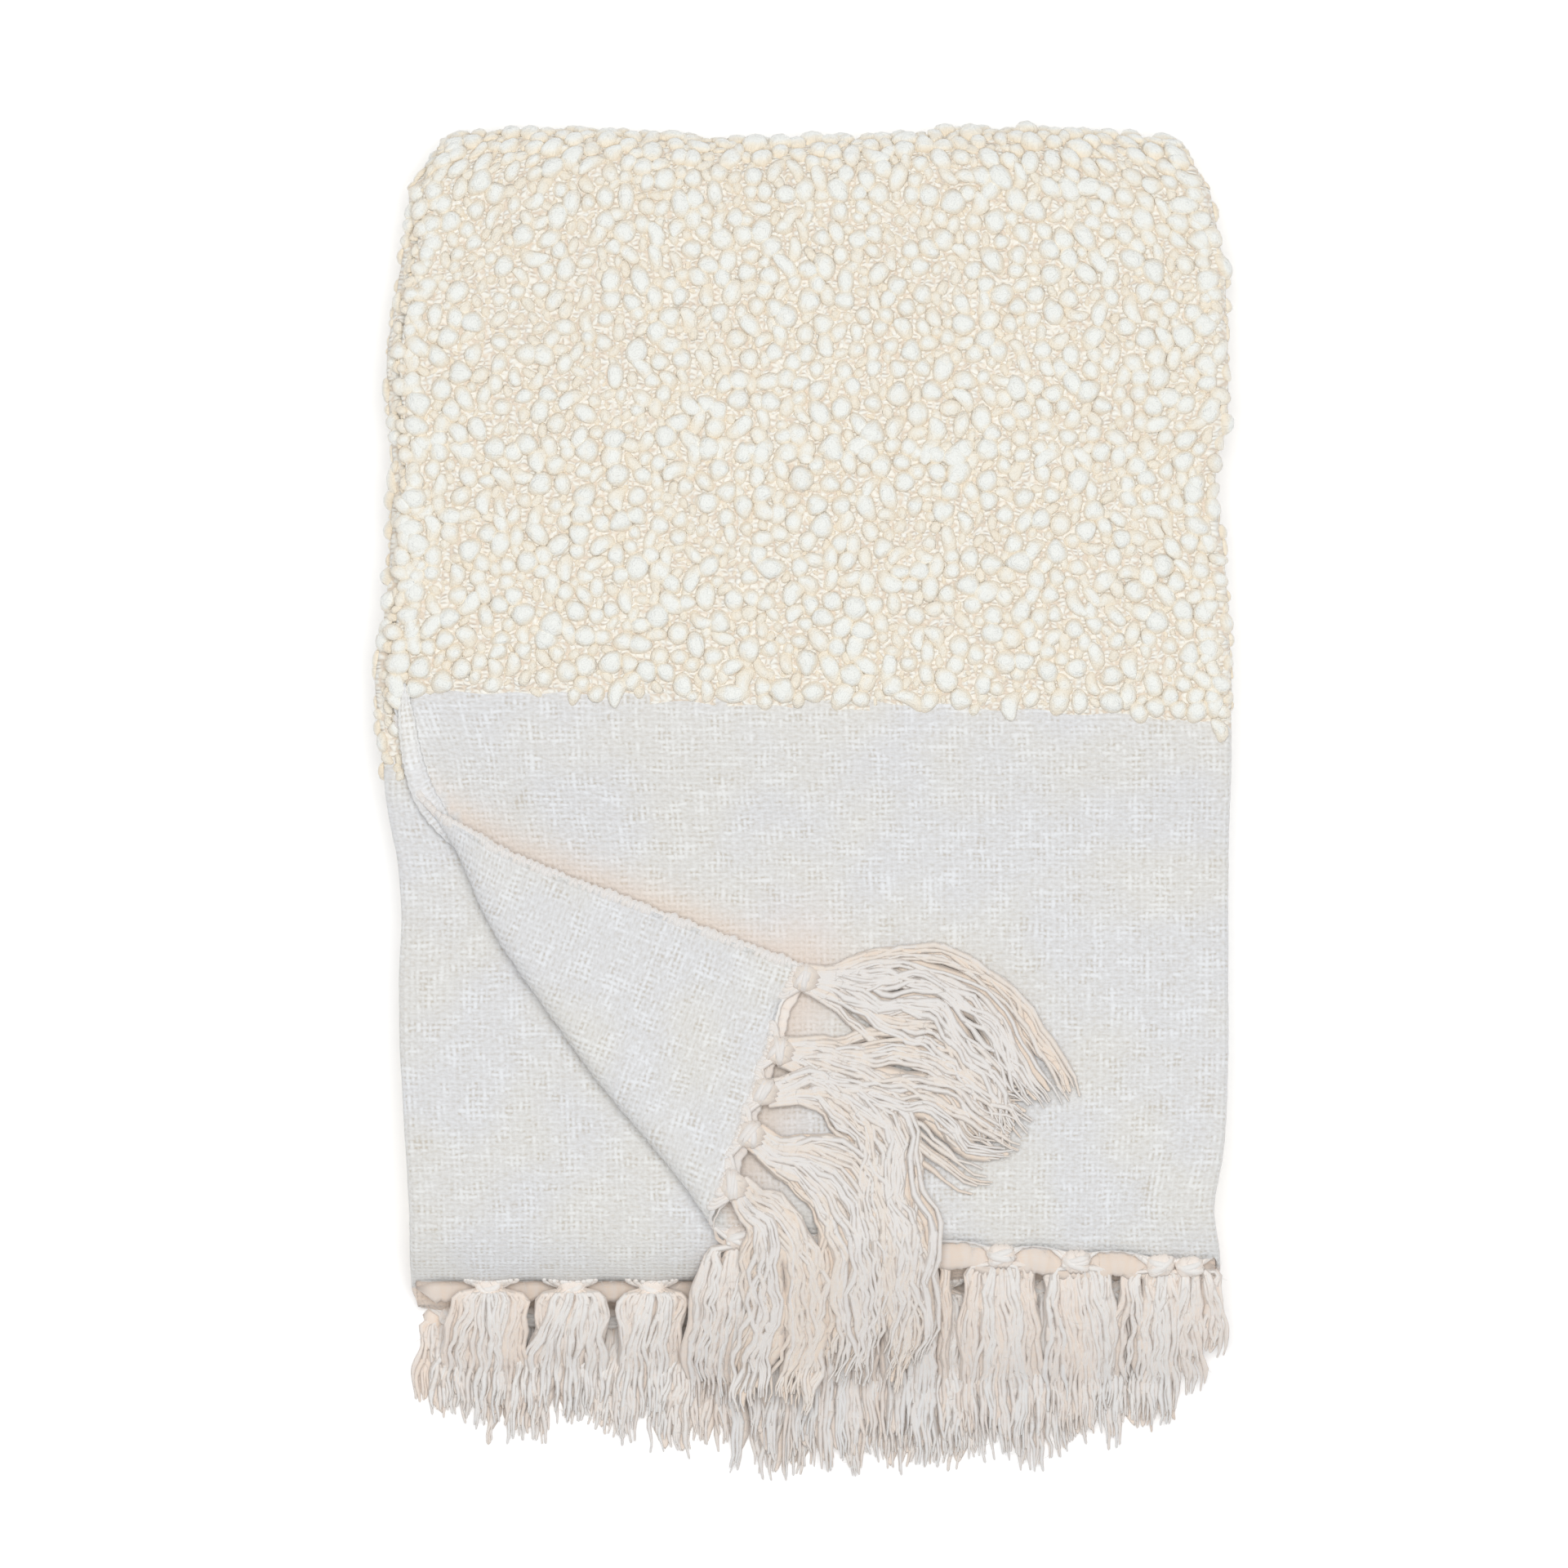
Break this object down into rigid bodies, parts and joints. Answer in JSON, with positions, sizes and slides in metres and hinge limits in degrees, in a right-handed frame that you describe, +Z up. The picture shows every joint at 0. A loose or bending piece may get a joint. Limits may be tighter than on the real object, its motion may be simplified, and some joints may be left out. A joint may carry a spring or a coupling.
{
  "type": "boucle throw",
  "caption": "Woven boucle throw with plain borders and knotted fringe, folded in thirds and over, with one corner turned back",
  "frame": {"origin": "the middle of the box's underside, on the surface that the throw rests on", "axes": "X across the folded throw, Y along it from the fringed end to the top fold, Z up"},
  "size_m": [0.437, 0.6894, 0.0744],
  "materials": {
    "boucle_cloth": "matt looped boucle and plain weave",
    "fringe_yarn": "matt spun yarn"
  },
  "bodies": {
    "root": {"tassel_far_01": "fringe_yarn", "tassel_far_02": "fringe_yarn", "tassel_far_03": "fringe_yarn", "tassel_far_04": "fringe_yarn", "tassel_far_05": "fringe_yarn", "tassel_far_06": "fringe_yarn", "tassel_far_07": "fringe_yarn", "tassel_far_08": "fringe_yarn", "tassel_far_09": "fringe_yarn", "tassel_far_10": "fringe_yarn", "tassel_far_11": "fringe_yarn", "tassel_far_12": "fringe_yarn", "tassel_far_13": "fringe_yarn", "tassel_far_14": "fringe_yarn", "tassel_far_15": "fringe_yarn", "tassel_far_16": "fringe_yarn", "tassel_far_17": "fringe_yarn", "tassel_far_18": "fringe_yarn", "tassel_far_19": "fringe_yarn", "tassel_far_20": "fringe_yarn", "tassel_far_21": "fringe_yarn", "tassel_far_22": "fringe_yarn", "tassel_far_23": "fringe_yarn", "tassel_far_24": "fringe_yarn", "tassel_far_25": "fringe_yarn", "tassel_far_26": "fringe_yarn", "tassel_far_27": "fringe_yarn", "tassel_far_28": "fringe_yarn", "tassel_near_01": "fringe_yarn", "tassel_near_02": "fringe_yarn", "tassel_near_03": "fringe_yarn", "tassel_near_04": "fringe_yarn", "tassel_near_05": "fringe_yarn", "tassel_near_06": "fringe_yarn", "tassel_near_07": "fringe_yarn", "tassel_near_08": "fringe_yarn", "tassel_near_09": "fringe_yarn", "tassel_near_10": "fringe_yarn", "tassel_near_11": "fringe_yarn", "tassel_near_12": "fringe_yarn", "tassel_near_13": "fringe_yarn", "tassel_near_14": "fringe_yarn", "tassel_near_15": "fringe_yarn", "tassel_near_16": "fringe_yarn", "tassel_near_17": "fringe_yarn", "tassel_near_18": "fringe_yarn", "tassel_near_19": "fringe_yarn", "tassel_near_20": "fringe_yarn", "tassel_near_21": "fringe_yarn", "tassel_near_22": "fringe_yarn", "tassel_near_23": "fringe_yarn", "tassel_near_24": "fringe_yarn", "tassel_near_25": "fringe_yarn", "tassel_near_26": "fringe_yarn", "tassel_near_27": "fringe_yarn", "tassel_near_28": "fringe_yarn", "throw_cloth": "boucle_cloth"}
  },
  "joints": []
}
